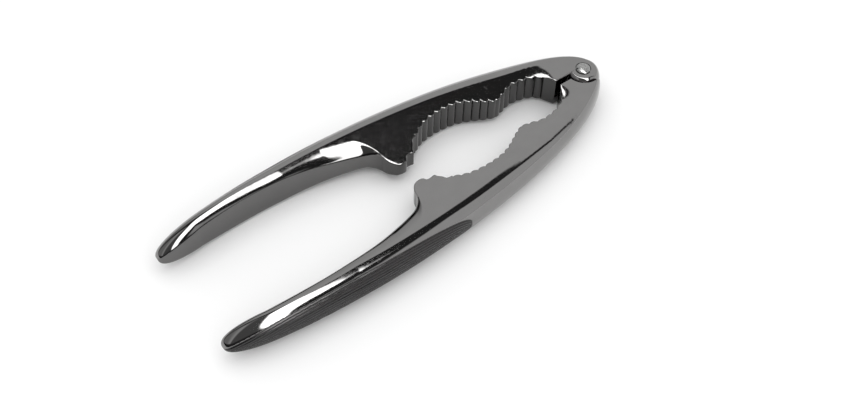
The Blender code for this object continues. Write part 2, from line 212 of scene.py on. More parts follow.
class Grip(bpy.types.PropertyGroup):
    """Sizes of the grooved grip panel on a handle's outer side."""
    start: length("Panel start", 0.0708, "Where the panel's pointed end lies, along the lever")
    widest: length("Panel widest place", 0.1150, "Where the panel is widest, along the lever")
    end: length("Panel end", 0.1640, "Where the panel fades out, along the lever")
    reach: length("Panel reach", 0.0068, "How far the panel reaches above and below the middle, over the rim")
    pitch: length("Groove pitch", 0.00092, "Distance from one groove to the next")
    depth: length("Groove depth", 0.00016, "Depth of a groove")


class HingeSizes(bpy.types.PropertyGroup):
    """Sizes of the knuckle and the rivet."""
    ear: length("Ear radius", 0.0065, "Radius of the round ear")
    gap: length("Joint gap", 0.0003, "Room between the two levers at the hinge")
    shank: length("Rivet radius", 0.0020, "Radius of the rivet's shank")
    head: length("Rivet head radius", 0.0026, "Radius of the rivet's domed head")
    head_rise: length("Rivet head rise", 0.0007, "How far the head's dome rises over the ear")
    recess: length("Head recess", 0.0006, "Depth of the seat that the head lies in")


class Finish(bpy.types.PropertyGroup):
    """Colours and polish."""
    plating: colour("Plating", (0.235, 0.232, 0.230), "Colour of the dark nickel plating")
    plating_rough: share("Plating roughness", 0.06, "Roughness of the polished plating")
    # Painted shade: the plating in the grooved grip is given this much darker colour, standing for the dark
    # reflections in its grooves.
    grip: colour("Grip", (0.052, 0.051, 0.051), "Colour of the plating in the grooved grip")
    # Painted shade: this darker colour stands for the shade on the walls of the pockets between the levers.
    wall: colour("Wall", (0.085, 0.084, 0.083), "Colour of the plating on the walls of the pockets")
    grip_rough: share("Grip roughness", 0.22, "Roughness of the grooved grip")
    rivet: colour("Rivet", (0.36, 0.36, 0.355), "Colour of the rivet")
    floor: colour("Floor", (0.90, 0.90, 0.90), "Colour of the studio floor")


class Studio(bpy.types.PropertyGroup):
    """Camera and light."""
    lens: FloatProperty(name="Lens", default=60.58, min=1.0, unit="CAMERA",
                        description="Focal length of the camera")
    light: FloatProperty(name="Light", default=1.0, min=0.0, description="Brightness of the whole studio")


def settings():
    return bpy.context.scene


# ---- Shared helpers ----

def smooth_step(value, start, end):
    """0 before start, 1 after end, and the smooth cubic t*t*(3-2t) between them."""
    t = np.clip((np.asarray(value, float) - start) / (end - start), 0, 1)
    return t * t * (3 - 2 * t)


def spline(points, samples):
    """Even samples along a Catmull-Rom curve: each span is the cubic from b to c with end slopes (c-a)/2 and
    (d-b)/2, and the samples lie evenly along its length.
    """
    points = np.array(points, float)
    padded = np.vstack([2 * points[0] - points[1], points, 2 * points[-1] - points[-2]])
    a, b, c, d = padded[:-3], padded[1:-2], padded[2:-1], padded[3:]
    t = np.linspace(0, 1, 48, endpoint=False)[:, None, None]
    fine = 0.5 * (2 * b + (c - a) * t + (2 * a - 5 * b + 4 * c - d) * t**2
                  + (3 * b - a - 3 * c + d) * t**3)
    fine = np.vstack([fine.transpose(1, 0, 2).reshape(-1, 2), points[-1:]])
    run = np.r_[0, np.cumsum(np.hypot(*np.diff(fine, axis=0).T))]
    at = np.linspace(0, run[-1], samples)
    return np.stack([np.interp(at, run, fine[:, axis]) for axis in (0, 1)], axis=1)


def add_object(name, mesh, material=None):
    obj = bpy.data.objects.new(name, mesh)
    bpy.context.scene.collection.objects.link(obj)
    if material:
        mesh.materials.append(material)
    return obj


# ---- Lever plan ----

class Plan:
    """The lever's edges in millimetres, worked out from the settings."""

    def __init__(self, plan, hinge):
        self.mouth = plan.mouth / MM
        self.small_start = plan.small_start / MM
        self.cusp = (plan.cusp_at / MM, plan.cusp_out / MM)
        self.large_end = plan.large_end / MM
        self.nose_end = self.large_end + plan.nose / MM
        self.nose = plan.nose / MM
        self.handle = plan.handle / MM
        self.tip_end = self.nose_end + self.handle
        self.tip_start = self.tip_end - plan.tip_round / MM
        self.small_out = plan.small_out / MM
        self.large_out = plan.large_out / MM
        self.nub = plan.nub_out / MM
        self.throat = plan.throat_out / MM
        self.handle_in = plan.handle_in / MM
        self.handle_width = plan.handle_width / MM
        self.tip_out = plan.tip_out / MM
        self.outer_max = self.handle_in + self.handle_width
        self.outer_max_at = WIDEST_SHARE * self.tip_end
        self.end_reach = hinge.ear / MM - END_INSET
        self.pitch = plan.pitch / MM
        self.depth = plan.depth / MM

    def outer(self, along):
        """A blunt ellipse, max * sqrt(1 - t**FRONT_POWER), from the knuckle to the widest place, then a fall of
        BACK_DROP * max * past**BACK_POWER to the tip.
        """
        t = np.clip((self.outer_max_at - along) / (self.outer_max_at + self.end_reach), 0, 1)
        front = self.outer_max * np.sqrt(np.maximum(0, 1 - t**FRONT_POWER))
        past = np.maximum(0, along - self.outer_max_at) / (self.tip_end - self.outer_max_at)
        return front - BACK_DROP * self.outer_max * past**BACK_POWER

    def toothed(self, points, per_tooth):
        """The curve moved out by depth * (1 - |cos(pi * phase)|**TOOTH_ROUND): broad teeth, narrow grooves."""
        run = np.hypot(*np.diff(spline(points, 400), axis=0).T).sum()
        teeth = max(2, round(run / self.pitch))
        edge = spline(points, per_tooth * teeth + 1)
        phase = np.linspace(0.5, teeth + 0.5, len(edge))
        shift = self.depth * (1 - np.abs(np.cos(math.pi * phase)) ** TOOTH_ROUND)
        along = np.gradient(edge, axis=0)
        normal = np.stack([-along[:, 1], along[:, 0]], axis=1) / np.hypot(*along.T)[:, None]
        return edge + normal * shift[:, None]

    def jaw_start(self):
        """Where the panel beside the hinge ends and the small jaw's teeth start."""
        return self.small_start, self.mouth + PANEL_HEIGHT

    def small_jaw(self):
        start = self.jaw_start()
        span = self.cusp[0] - self.small_start
        rise = self.small_out - start[1]
        inner = [(self.small_start + a * span, start[1] + b * rise) for a, b in SMALL_JAW_SHAPE]
        before, above = SMALL_JAW_CLOSES
        return [start, *inner, (self.cusp[0] - before * span, self.cusp[1] + above), self.cusp]

    def large_jaw(self):
        span = self.large_end - self.cusp[0]
        rise = self.large_out - self.cusp[1]
        return [(self.cusp[0] + a * span, self.cusp[1] + b * rise) for a, b in LARGE_JAW_SHAPE]

    def nose_edge(self):
        inner = [(self.large_end + a * self.nose, self.nub + out) for a, out in NOSE_SHAPE]
        return [self.large_jaw()[-1], *inner, (self.nose_end, self.throat)]

    def handle_edge(self):
        rise = self.handle_in - self.throat
        run = [(self.nose_end + a * self.handle, self.throat + part * rise) for a, part in HANDLE_SHAPE]
        return run + [(self.tip_start, float(self.outer(self.tip_start)) - TIP_WIDTH_PART * self.handle_width)]

    def fan(self):
        """Matching rows round the hinge axis and along the mouth, to where the knuckle's stretch ends."""
        angles = np.radians(np.linspace(180, 90, FAN_ROWS))
        along = -self.end_reach * np.cos(np.linspace(0, math.pi / 2, FAN_ROWS)) ** FAN_SPREAD
        mouth = self.small_start - PANEL_LENGTH
        shares = np.linspace(MOUTH_FROM, MOUTH_TO, MOUTH_ROWS)
        inner = [np.stack([np.cos(angles), np.sin(angles)], axis=1),
                 np.stack([shares * mouth, np.full(MOUTH_ROWS, self.mouth)], axis=1)]
        shares = shares * ((MOUTH_TO + MOUTH_AHEAD) / MOUTH_TO) + MOUTH_AHEAD * (1 - shares)
        outer = [np.stack([along, self.outer(along)], axis=1),
                 np.stack([shares * mouth, self.outer(shares * mouth)], axis=1)]
        return inner, outer, mouth

    def tip_rows(self, half, middle):
        """Rows over the rounded tip: half * cos(turn)**TIP_POWER wide, at places that run as sin(turn)."""
        turn = np.linspace(0, math.pi / 2, TIP_ROWS)[1:-1]
        along = self.tip_start + (self.tip_end - self.tip_start) * np.sin(turn)
        centre = middle + (self.tip_out - middle) * np.sin(turn)
        width = half * np.cos(turn) ** TIP_POWER
        return np.stack([along, centre - width], axis=1), np.stack([along, centre + width], axis=1)

    def chords(self):
        """Matching points on the inner and the outer edge, row by row, and the row where the knuckle ends."""
        inner, outer, mouth = self.fan()
        reached = outer[-1][-1, 0]
        lead = [(MOUTH_TO * mouth, self.mouth), (mouth, self.mouth)]
        runs = (
            (spline(lead, LEAD_ROWS), LEAD_AHEAD * mouth),
            (spline([lead[-1], self.jaw_start()], PANEL_ROWS), self.small_start + PANEL_AHEAD),
            (self.toothed(self.small_jaw(), TOOTH_ROWS), self.cusp[0] + SMALL_JAW_AHEAD),
            (self.toothed(self.large_jaw(), TOOTH_ROWS), self.large_end + LARGE_JAW_AHEAD),
            (spline(self.nose_edge(), NOSE_ROWS), self.nose_end + NOSE_AHEAD),
            (spline(self.handle_edge(), HANDLE_ROWS), self.tip_start),
        )
        for edge, end in runs:
            along = np.linspace(reached, end, len(edge))[1:]
            inner.append(edge[1:])
            outer.append(np.stack([along, self.outer(along)], axis=1))
            reached = end
        half = (outer[-1][-1, 1] - inner[-1][-1, 1]) / 2
        tip_inner, tip_outer = self.tip_rows(half, outer[-1][-1, 1] - half)
        split = FAN_ROWS + MOUTH_ROWS - 1
        return np.vstack([*inner, tip_inner]), np.vstack([*outer, tip_outer]), split


# ---- Lever section ----

def crest_half(along, plan, section):
    """Half the thickness at the crest: low at the knuckle, full at the jaws, and * sqrt(1 - past**TAPER_POWER)
    over the last TAPER_LENGTH before the tip.
    """
    knuckle, full = section.knuckle_half / MM, section.body_half / MM
    body = knuckle + (full - knuckle) * smooth_step(along, *BODY_GROWS)
    past = np.clip((along - plan.tip_end + TAPER_LENGTH) / TAPER_LENGTH, 0, 1)
    return body * np.sqrt(np.maximum(0, 1 - past**TAPER_POWER))


def rim_width(along, section):
    """Width of the rounded outer rim: narrow at the knuckle's end, full along the body."""
    end, full = section.end_rim / MM, section.rim / MM
    return end + (full - end) * smooth_step(along, *RIM_GROWS)


def web_slope(along, section):
    return section.slope * smooth_step(along, *WEB_TILTS)


def web_fall(past, slope, section):
    """How far the web lies below the crest: the hyperbola slope * (sqrt(past**2 + blend**2) - blend)."""
    blend = section.crest_blend / MM
    return slope * (np.sqrt(past**2 + blend**2) - blend)


def grip_form(along, arc, grip):
    """Depth of the grip and how much of the place is grip: sin**2 grooves nested in a leaf-shaped outline."""
    start, widest, end = grip.start / MM, grip.widest / MM, grip.end / MM
    rising = np.clip((along - start) / (widest - start), 0, 1)
    falling = np.clip((end - along) / (end - widest), 0, 1)
    leaf = grip.reach / MM * np.sin(math.pi / 2 * rising) ** LEAF_RISE
    leaf = leaf * np.sin(math.pi / 2 * falling) ** LEAF_FALL
    inside = leaf - np.abs(arc)
    panel = smooth_step(inside, 0.0, PANEL_EDGE)
    wave = np.sin(math.pi * inside / (grip.pitch / MM)) ** 2
    depth = grip.depth / MM * panel * (PANEL_SUNK + wave)
    return depth * smooth_step(leaf, *DEPTH_FADES), panel * smooth_step(leaf, *GRIP_FADES)


def nearest_on_edge(points, edge):
    """Distance from each plan point to the nearest point of the edge, and that point's place along it."""
    flat = points.reshape(-1, 2)
    near, place = np.empty(len(flat)), np.empty(len(flat))
    for first in range(0, len(flat), BATCH):
        some = flat[first:first + BATCH]
        apart = np.hypot(some[:, None, 0] - edge[None, :, 0], some[:, None, 1] - edge[None, :, 1])
        which = apart.argmin(axis=1)
        near[first:first + BATCH] = apart[np.arange(len(some)), which]
        place[first:first + BATCH] = edge[which, 0]
    return near.reshape(points.shape[:2]), place.reshape(points.shape[:2])


def true_web(points, edge, plan, section):
    """Height of the sloping web at plan points by the nearest edge point, and how far past the rim they lie."""
    near, place = nearest_on_edge(points, edge)
    past = np.maximum(near - rim_width(place, section), 0)
    return crest_half(place, plan, section) - web_fall(past, web_slope(place, section), section), past


def wall_height(along, crest, edge_height, handle, plan, section):
    """Half height of the inner wall: just under the edge at the jaws, low at the throat, full on the handle."""
    grown = smooth_step(along, *(plan.nose_end + place for place in WALL_GROWS))
    falls = smooth_step(along, *(plan.tip_end - place for place in WALL_FALLS))
    throat = section.throat_wall / MM
    wall = throat + ((section.wall_part - WALL_DROP * falls) * crest - throat) * grown
    wall = edge_height - WALL_LIP + (wall - edge_height + WALL_LIP) * handle
    return np.minimum(np.minimum(wall, WALL_PART * edge_height), CREST_PART * crest)


def section_grid(inner, outer, plan, section, grip):
    """Half sections of all rows at once: place along the chord, height, grip share and the share of painted
    shade on the walls.

    From the inner edge outwards: a plain wall, a quarter-round roll, the sloping web, and a quarter-ellipse rim
    (rim * (1 - cos psi), crest * sin psi), sunk along its normal by the grip. Away from the handle, the web's
    height is the true one, so that it doesn't depend on which way a row runs.
    """
    chord = outer - inner
    run = np.gradient(outer, axis=0)
    normal = np.stack([-run[:, 1], run[:, 0]], axis=1) / np.hypot(*run.T)[:, None]
    reach = (chord * normal).sum(axis=1)[:, None]
    along = outer[:, :1]
    crest = crest_half(along, plan, section)
    rim = np.minimum(rim_width(along, section), RIM_PART * reach)
    slope = web_slope(along, section)
    handle = smooth_step(along, *(plan.nose_end + place for place in ROLL_GROWS))
    edge_round = section.edge_round / MM
    roll = edge_round + (section.handle_roll / MM - edge_round) * handle
    roll = np.minimum(roll, ROLL_PART * (reach - rim))
    dense = np.linspace(-plan.end_reach, plan.tip_start, BATCH)
    edge = np.stack([dense, plan.outer(dense)], axis=1)

    def by_row(left):
        turn = np.clip((rim - left) / rim, 0, 1)
        web = crest - web_fall(np.maximum(left - rim, 0), slope, section)
        return np.where(left >= rim, web, crest * np.sqrt(1 - turn**2))

    def measured(place):
        return true_web(inner[:, None, :] + (place / reach)[..., None] * chord[:, None, :], edge, plan, section)

    edge_height = by_row(reach)
    edge_true, _past = true_web(inner[:, None, :], edge, plan, section)
    trust = smooth_step(reach - rim, *WEB_TRUSTED) * (1 - handle)
    edge_height = edge_height + trust * (edge_true - edge_height)
    wall = wall_height(along, crest, edge_height, handle, plan, section)
    wall_place = np.zeros_like(wall) * WALL_STEPS

    turn = np.linspace(0, math.pi / 2, ROLL_COLUMNS)[None, 1:]
    roll_place = roll * (1 - np.cos(turn))
    roll_true, _past = measured(roll_place)
    roll_top = by_row(reach - roll_place) * handle + roll_true * (1 - handle)
    roll_height = wall + (roll_top - wall) * np.sin(turn)

    steps = np.linspace(0, 1, WEB_COLUMNS)[None, 1:]
    web_place = roll + (reach - rim - roll) * (1 - (1 - steps) ** WEB_CROWDING)
    web_height = by_row(reach - web_place)
    web_true, past = measured(web_place)
    web_height = web_height + smooth_step(past, *WEB_TRUSTED) * (1 - handle) * (web_true - web_height)

    psi = np.linspace(math.pi / 2, 0, RIM_COLUMNS)[None, 1:]
    tilt = np.hypot(np.cos(psi) / rim, np.sin(psi) / crest)
    sunk, panel = grip_form(along, 0.5 * (rim + crest) * psi, grip)
    rim_place = reach - rim * (1 - np.cos(psi)) - sunk * np.cos(psi) / rim / tilt
    rim_height = crest * np.sin(psi) - sunk * np.sin(psi) / crest / tilt

    place = np.hstack([wall_place, roll_place, web_place, rim_place])
    height = np.hstack([wall * WALL_STEPS, roll_height, web_height, rim_height])
    grips = np.hstack([np.zeros_like(place[:, : -panel.shape[1]]), panel])
    # Painted shade: the inner wall, and the roll fading out, get the darker wall colour, with less of it on the
    # handle.
    walls = np.hstack([np.ones_like(wall_place), np.cos(turn) ** 2 * np.ones_like(roll_place),
                       np.zeros_like(web_place), np.zeros_like(panel)])
    return place / reach, height, grips, walls * (1 - section.open_wall_shade_cut * handle)


def lever_grid(plan, section, grip):
    """The lever as rings round its section, in millimetres in the far lever's place, with the grip share and
    the share of painted wall shade of each point.
    """
    inner, outer, split = plan.chords()
    part, height, grips, walls = section_grid(inner, outer, plan, section, grip)
    flat = inner[:, None, :] + part[..., None] * (outer - inner)[:, None, :]
    top = np.dstack([HINGE[0] / MM - flat[..., 0], flat[..., 1], HINGE[2] / MM + height])
    bottom = top[:, -2:0:-1].copy()
    bottom[..., 2] = 2 * HINGE[2] / MM - bottom[..., 2]
    rings = np.concatenate([top, bottom], axis=1)
    grips = np.concatenate([grips, grips[:, -2:0:-1]], axis=1)
    walls = np.concatenate([walls, walls[:, -2:0:-1]], axis=1)
    return rings, grips, walls, split


def ring_quads(rows, columns):
    """Faces of a tube of rings, wound so that they point outwards."""
    ring = np.arange(rows - 1)[:, None] * columns
    column = np.arange(columns)[None, :]
    following = (column + 1) % columns
    beyond = ring + columns
    quads = np.stack([ring + column, ring + following, beyond + following, beyond + column], axis=-1)
    return quads.reshape(-1, 4)


# ---- Hinge solids, in millimetres ----

def turned(name, profile, segments):
    """A closed solid: a profile of (radius, height over the middle), top to bottom, turned about the hinge."""
    profile = np.array(profile, float)
    angle = 2 * math.pi * (np.arange(segments) + 0.5) / segments
    radius, height = profile[1:-1, :1], profile[1:-1, 1:]
    ring = np.dstack([HINGE[0] / MM + radius * np.cos(angle), radius * np.sin(angle),
                      HINGE[2] / MM + height + 0 * angle]).reshape(-1, 3)
    poles = [(HINGE[0] / MM, 0, HINGE[2] / MM + profile[end, 1]) for end in (0, -1)]
    points = np.vstack([ring, poles])
    rows = len(profile) - 2
    sides = ring_quads(rows, segments)[:, ::-1]
    k = np.arange(segments)
    following = (k + 1) % segments
    upper = np.stack([k, following, np.full(segments, len(ring))], axis=1)
    last = (rows - 1) * segments
    lower = np.stack([last + following, last + k, np.full(segments, len(ring) + 1)], axis=1)
    mesh = bpy.data.meshes.new(name)
    mesh.from_pydata(points.tolist(), [], sides.tolist() + upper.tolist() + lower.tolist())
    return mesh


def domed_ear(section, hinge):
    """Profile of the ear: flat on top with a quarter-ellipse rim, and deeper than its face, which is cut."""
    low, top = hinge.gap / MM / 2, section.knuckle_half / MM - FLAT_INSET
    radius, rim = hinge.ear / MM, section.end_rim / MM
    turn = np.linspace(0, math.pi / 2, EAR_CURVE)
    curve = np.stack([radius - rim * (1 - np.sin(turn)), low + (top - low) * np.cos(turn)], axis=1)
    return [(0, top), *curve.tolist(), (radius, -EAR_BELOW), (0, -EAR_BELOW)]


def cylinder(name, radius, low, high, segments):
    return turned(name, [(0, high), (radius, high), (radius, low), (0, low)], segments)


def box_mesh(name, low, high):
    build = bmesh.new()
    bmesh.ops.create_cube(build, size=1)
    bmesh.ops.scale(build, vec=[b - a for a, b in zip(low, high)], verts=build.verts)
    bmesh.ops.translate(build, vec=[(a + b) / 2 for a, b in zip(low, high)], verts=build.verts)
    mesh = bpy.data.meshes.new(name)
    build.to_mesh(mesh)
    build.free()
    return mesh


def triangulated(mesh):
    build = bmesh.new()
    build.from_mesh(mesh)
    bmesh.ops.remove_doubles(build, verts=build.verts, dist=SMALLEST)
    bmesh.ops.triangulate(build, faces=build.faces)
    build.to_mesh(mesh)
    build.free()


def cut_knuckle(form, section, hinge):
    """Joins the ear to the knuckle's stretch and cuts room for the other ear, the rivet's hole and its seat."""
    far = CUT_REACH
    ear, gap = hinge.ear / MM, hinge.gap / MM
    knuckle = section.knuckle_half / MM
    middle, axis = HINGE[2] / MM, HINGE[0] / MM
    tools = (
        (turned("ear_form", domed_ear(section, hinge), EAR_SEGMENTS), "UNION"),
        (box_mesh("end_room", (axis + SHOULDER_PART * ear, -far, middle - far),
                  (axis + far, far, middle + gap)), "DIFFERENCE"),
        (cylinder("ear_room", ear + gap, -far, gap / 2, EAR_SEGMENTS), "DIFFERENCE"),
        (cylinder("rivet_hole", (hinge.shank + hinge.gap) / MM, -far, far, RIVET_SEGMENTS), "DIFFERENCE"),
        (cylinder("rivet_seat", (hinge.head + hinge.gap) / MM, knuckle - hinge.recess / MM, far,
                  RIVET_SEGMENTS), "DIFFERENCE"),
    )
    triangulated(form.data)
    for mesh, operation in tools:
        triangulated(mesh)
        tool = add_object(mesh.name, mesh)
        modifier = form.modifiers.new(mesh.name, "BOOLEAN")
        modifier.operation = operation
        modifier.solver = "EXACT"
        modifier.object = tool
        graph = bpy.context.evaluated_depsgraph_get()
        form.data = bpy.data.meshes.new_from_object(form.evaluated_get(graph))
        form.modifiers.clear()
        bpy.data.objects.remove(tool)
        triangulated(form.data)


def knuckle_arrays(rings, section, hinge):
    """Points and faces of the finished knuckle's stretch, open at the ring where the lever goes on."""
    rows, columns = rings.shape[:2]
    points = rings.reshape(-1, 3)
    last = (rows - 1) * columns
    faces = ring_quads(rows, columns).tolist()
    faces += [list(range(columns))[::-1], list(range(last, last + columns))]
    mesh = bpy.data.meshes.new("knuckle")
    mesh.from_pydata(points.tolist(), [], faces)
    form = add_object("knuckle", mesh)
    cut_knuckle(form, section, hinge)
    mesh = form.data
    points = np.empty(len(mesh.vertices) * 3)
    mesh.vertices.foreach_get("co", points)
    points = points.reshape(-1, 3)
    faces = np.empty(len(mesh.polygons) * 3, np.int64)
    mesh.polygons.foreach_get("vertices", faces)
    faces = faces.reshape(-1, 3)
    bpy.data.objects.remove(form)
    ring = rings[-1]
    across = np.cross(ring[columns // 4] - ring[0], ring[columns // 2] - ring[0])
    across /= np.linalg.norm(across)
    on_plane = np.abs((points - ring[0]) @ across) < ON_PLANE
    return points, faces[~on_plane[faces].all(axis=1)], on_plane


def lever_mesh(name, near):
    """The whole lever: knuckle and arm sewn on their shared ring, and turned over for the near one."""
    scene = settings()
    plan = Plan(scene.lever_plan, scene.hinge_sizes)
    section, hinge, grip = scene.lever_section, scene.hinge_sizes, scene.grip
    rings, grips, walls, split = lever_grid(plan, section, grip)
    rows, columns = rings.shape[:2]
    arm = rings[split:].reshape(-1, 3)
    arm_rows = rows - split
    tip = np.array([[HINGE[0] / MM - plan.tip_end, plan.tip_out, HINGE[2] / MM]])
    last = (arm_rows - 1) * columns
    k = np.arange(columns)
    cap = np.stack([last + k, last + (k + 1) % columns, np.full(columns, len(arm))], axis=1)
    knuckle, triangles, on_ring = knuckle_arrays(rings[: split + 1], section, hinge)
    number = len(arm) + 1 + np.arange(len(knuckle))
    seam = np.flatnonzero(on_ring)
    gaps = np.linalg.norm(knuckle[seam][:, None, :] - rings[split][None], axis=2)
    if gaps.min(axis=1).max() > SEAM:
        raise RuntimeError("the knuckle's seam doesn't meet the arm")
    number[seam] = gaps.argmin(axis=1)
    points = np.vstack([arm, tip, knuckle])
    if near:
        points = points * (1, -1, -1) + (0, 0, 2 * HINGE[2] / MM)
    faces = ring_quads(arm_rows, columns).tolist() + cap.tolist() + number[triangles].tolist()
    mesh = bpy.data.meshes.new(name)
    mesh.from_pydata((points * MM).tolist(), [], faces)
    # The wall attribute holds the share of painted shade on the pockets' walls.
    for attribute, shares in (("grip", grips), ("wall", walls)):
        values = np.concatenate([shares[split:].ravel(), np.zeros(1 + len(knuckle))]).astype(np.float32)
        mesh.attributes.new(attribute, "FLOAT", "POINT").data.foreach_set("value", values)
    build = bmesh.new()
    build.from_mesh(mesh)
    loose = [vert for vert in build.verts if not vert.link_faces]
    bmesh.ops.delete(build, geom=loose, context="VERTS")
    build.to_mesh(mesh)
    build.free()
    mesh.shade_smooth()
    mesh.set_sharp_from_angle(angle=math.radians(LEVER_CREASE))
    return mesh


def rivet_mesh():
    """A shank with a low domed head at both ends, whose edge rolls under before it meets its seat."""
    hinge, section = settings().hinge_sizes, settings().lever_section
    knuckle = section.knuckle_half / MM
    under = knuckle - (hinge.recess - hinge.gap) / MM
    head, rise, shank = hinge.head / MM, hinge.head_rise / MM, hinge.shank / MM
    turn = np.linspace(0, math.pi / 2, DOME_CURVE)
    dome = np.stack([head * np.sin(turn), knuckle + rise * np.cos(turn) ** DOME_POWER], axis=1)
    upper = [*dome.tolist(), (head, under + HEAD_BEVEL), (head - HEAD_BEVEL, under), (shank, under)]
    lower = [(radius, -height) for radius, height in reversed(upper)]
    mesh = turned("rivet", upper + lower, RIVET_SEGMENTS)
    mesh.transform(Matrix.Scale(MM, 4))
    mesh.shade_smooth()
    mesh.set_sharp_from_angle(angle=math.radians(RIVET_CREASE))
    return mesh


# ---- Materials ----

class Nodes:
    """Short ways to make and link shader nodes."""

    def __init__(self, tree):
        self.tree = tree

    def new(self, kind, **values):
        node = self.tree.nodes.new(kind)
        for key, value in values.items():
            setattr(node, key, value)
        return node

    def link(self, source, target):
        self.tree.links.new(source, target)

    def math(self, operation, first, second=None):
        node = self.new("ShaderNodeMath", operation=operation)
        for socket, value in zip(node.inputs, (first, second)):
            if isinstance(value, bpy.types.NodeSocket):
                self.link(value, socket)
            elif value is not None:
                socket.default_value = value
        return node.outputs[0]

    def dot(self, vector, axis):
        node = self.new("ShaderNodeVectorMath", operation="DOT_PRODUCT")
        self.link(vector, node.inputs[0])
        node.inputs[1].default_value = axis
        return node.outputs["Value"]

    def scaled(self, value, factor, offset):
        return self.math("ADD", self.math("MULTIPLY", value, factor), offset)

    def product(self, first, *others):
        for other in others:
            first = self.math("MULTIPLY", first, other)
        return first

    def past_line(self, value, across, line):
        """How far the value lies past the line slope * across + offset."""
        return self.math("SUBTRACT", value, self.scaled(across, *line))

    def bump(self, height, strength, distance):
        node = self.new("ShaderNodeBump")
        node.inputs["Strength"].default_value = strength
        node.inputs["Distance"].default_value = distance
        self.link(height, node.inputs["Height"])
        return node.outputs[0]

    def ramp(self, value, start, end, low=0.0, high=1.0):
        node = self.new("ShaderNodeMapRange", interpolation_type="SMOOTHSTEP")
        self.link(value, node.inputs[0])
        for socket, number in zip(node.inputs[1:5], (start, end, low, high)):
            socket.default_value = number
        return node.outputs[0]

    def mix(self, factor, first, second):
        node = self.new("ShaderNodeMix", data_type="RGBA")
        self.link(factor, node.inputs[0])
        for socket, value in zip(node.inputs[6:8], (first, second)):
            if isinstance(value, bpy.types.NodeSocket):
                self.link(value, socket)
            else:
                socket.default_value = (*value, 1)
        return node.outputs[2]

    def noise(self, vector, scale, detail=3.0, roughness=0.5):
        node = self.new("ShaderNodeTexNoise")
        self.link(vector, node.inputs["Vector"])
        node.inputs["Scale"].default_value = scale
        node.inputs["Detail"].default_value = detail
        node.inputs["Roughness"].default_value = roughness
        return node.outputs["Fac"]


def metal(name):
    """A new metallic material, its node helper, its shader and the object's own coordinates."""
    material = bpy.data.materials.new(name)
    material.use_nodes = True
    nodes = Nodes(material.node_tree)
    shader = material.node_tree.nodes["Principled BSDF"]
    shader.inputs["Metallic"].default_value = 1.0
    where = nodes.new("ShaderNodeTexCoord").outputs["Object"]
    return material, nodes, shader, where


def plating_material():
    """Dark nickel over a polished casting: faint orange peel, fine haze, painted shade on the walls of the
    pockets, and a duller grip with painted shade.
    """
    finish = settings().finish
    material, nodes, shader, where = metal("dark_nickel_plating")
    grip = nodes.new("ShaderNodeAttribute", attribute_name="grip").outputs["Fac"]
    cloud = nodes.noise(where, 160.0, 2.0)
    haze = nodes.noise(where, 900.0, 4.0, 0.6)
    pale = tuple(min(1.0, 1.06 * c) for c in finish.plating)
    deep = tuple(0.95 * c for c in finish.plating)
    body = nodes.mix(cloud, deep, pale)
    # Painted shade: the walls of the pockets take the darker wall colour.
    wall = nodes.new("ShaderNodeAttribute", attribute_name="wall").outputs["Fac"]
    body = nodes.mix(wall, body, finish.wall)
    # Painted shade: the grip takes the darker grip colour; its greater roughness is real.
    nodes.link(nodes.mix(grip, body, finish.grip), shader.inputs["Base Color"])
    polish = nodes.ramp(haze, 0.3, 0.75, 0.7 * finish.plating_rough, 1.5 * finish.plating_rough)
    extra = nodes.math("MULTIPLY", grip, finish.grip_rough - finish.plating_rough)
    nodes.link(nodes.math("ADD", polish, extra), shader.inputs["Roughness"])
    peel = nodes.noise(where, 260.0, 1.0)
    nodes.link(nodes.bump(peel, strength=0.045, distance=0.0002), shader.inputs["Normal"])
    return material


def rivet_material():
    """A headed rivet: brighter than the castings, with fine rings round its middle and a few pits."""
    finish = settings().finish
    material, nodes, shader, where = metal("plated_rivet_steel")
    place = nodes.new("ShaderNodeMapping", vector_type="POINT")
    place.inputs["Location"].default_value = (-HINGE[0], 0, 0)
    nodes.link(where, place.inputs["Vector"])
    split = nodes.new("ShaderNodeSeparateXYZ")
    nodes.link(place.outputs[0], split.inputs[0])
    squares = [nodes.math("POWER", split.outputs[axis], 2.0) for axis in (0, 1)]
    radius = nodes.math("SQRT", nodes.math("ADD", *squares))
    rings = nodes.math("SINE", nodes.math("MULTIPLY", radius, 22000.0))
    pits = nodes.noise(where, 1400.0, 3.0, 0.6)
    height = nodes.math("ADD", nodes.math("MULTIPLY", rings, 0.3), pits)
    dark = tuple(0.75 * c for c in finish.rivet)
    nodes.link(nodes.mix(nodes.ramp(pits, 0.35, 0.6), dark, finish.rivet), shader.inputs["Base Color"])
    nodes.link(nodes.ramp(pits, 0.3, 0.7, 0.30, 0.16), shader.inputs["Roughness"])
    nodes.link(nodes.bump(height, strength=0.25, distance=0.00005), shader.inputs["Normal"])
    return material


def floor_material():
    """Pale seamless paper with a barely visible tooth."""
    material = bpy.data.materials.new("pale_paper")
    material.use_nodes = True
    nodes = Nodes(material.node_tree)
    shader = material.node_tree.nodes["Principled BSDF"]
    shader.inputs["Roughness"].default_value = 0.9
    shader.inputs["Specular IOR Level"].default_value = 0.1
    where = nodes.new("ShaderNodeTexCoord").outputs["Object"]
    tooth = nodes.noise(where, 1500.0, 2.0)
    pale = tuple(settings().finish.floor)
    nodes.link(nodes.mix(tooth, tuple(0.985 * c for c in pale), pale), shader.inputs["Base Color"])
    return material


# ---- Studio ----

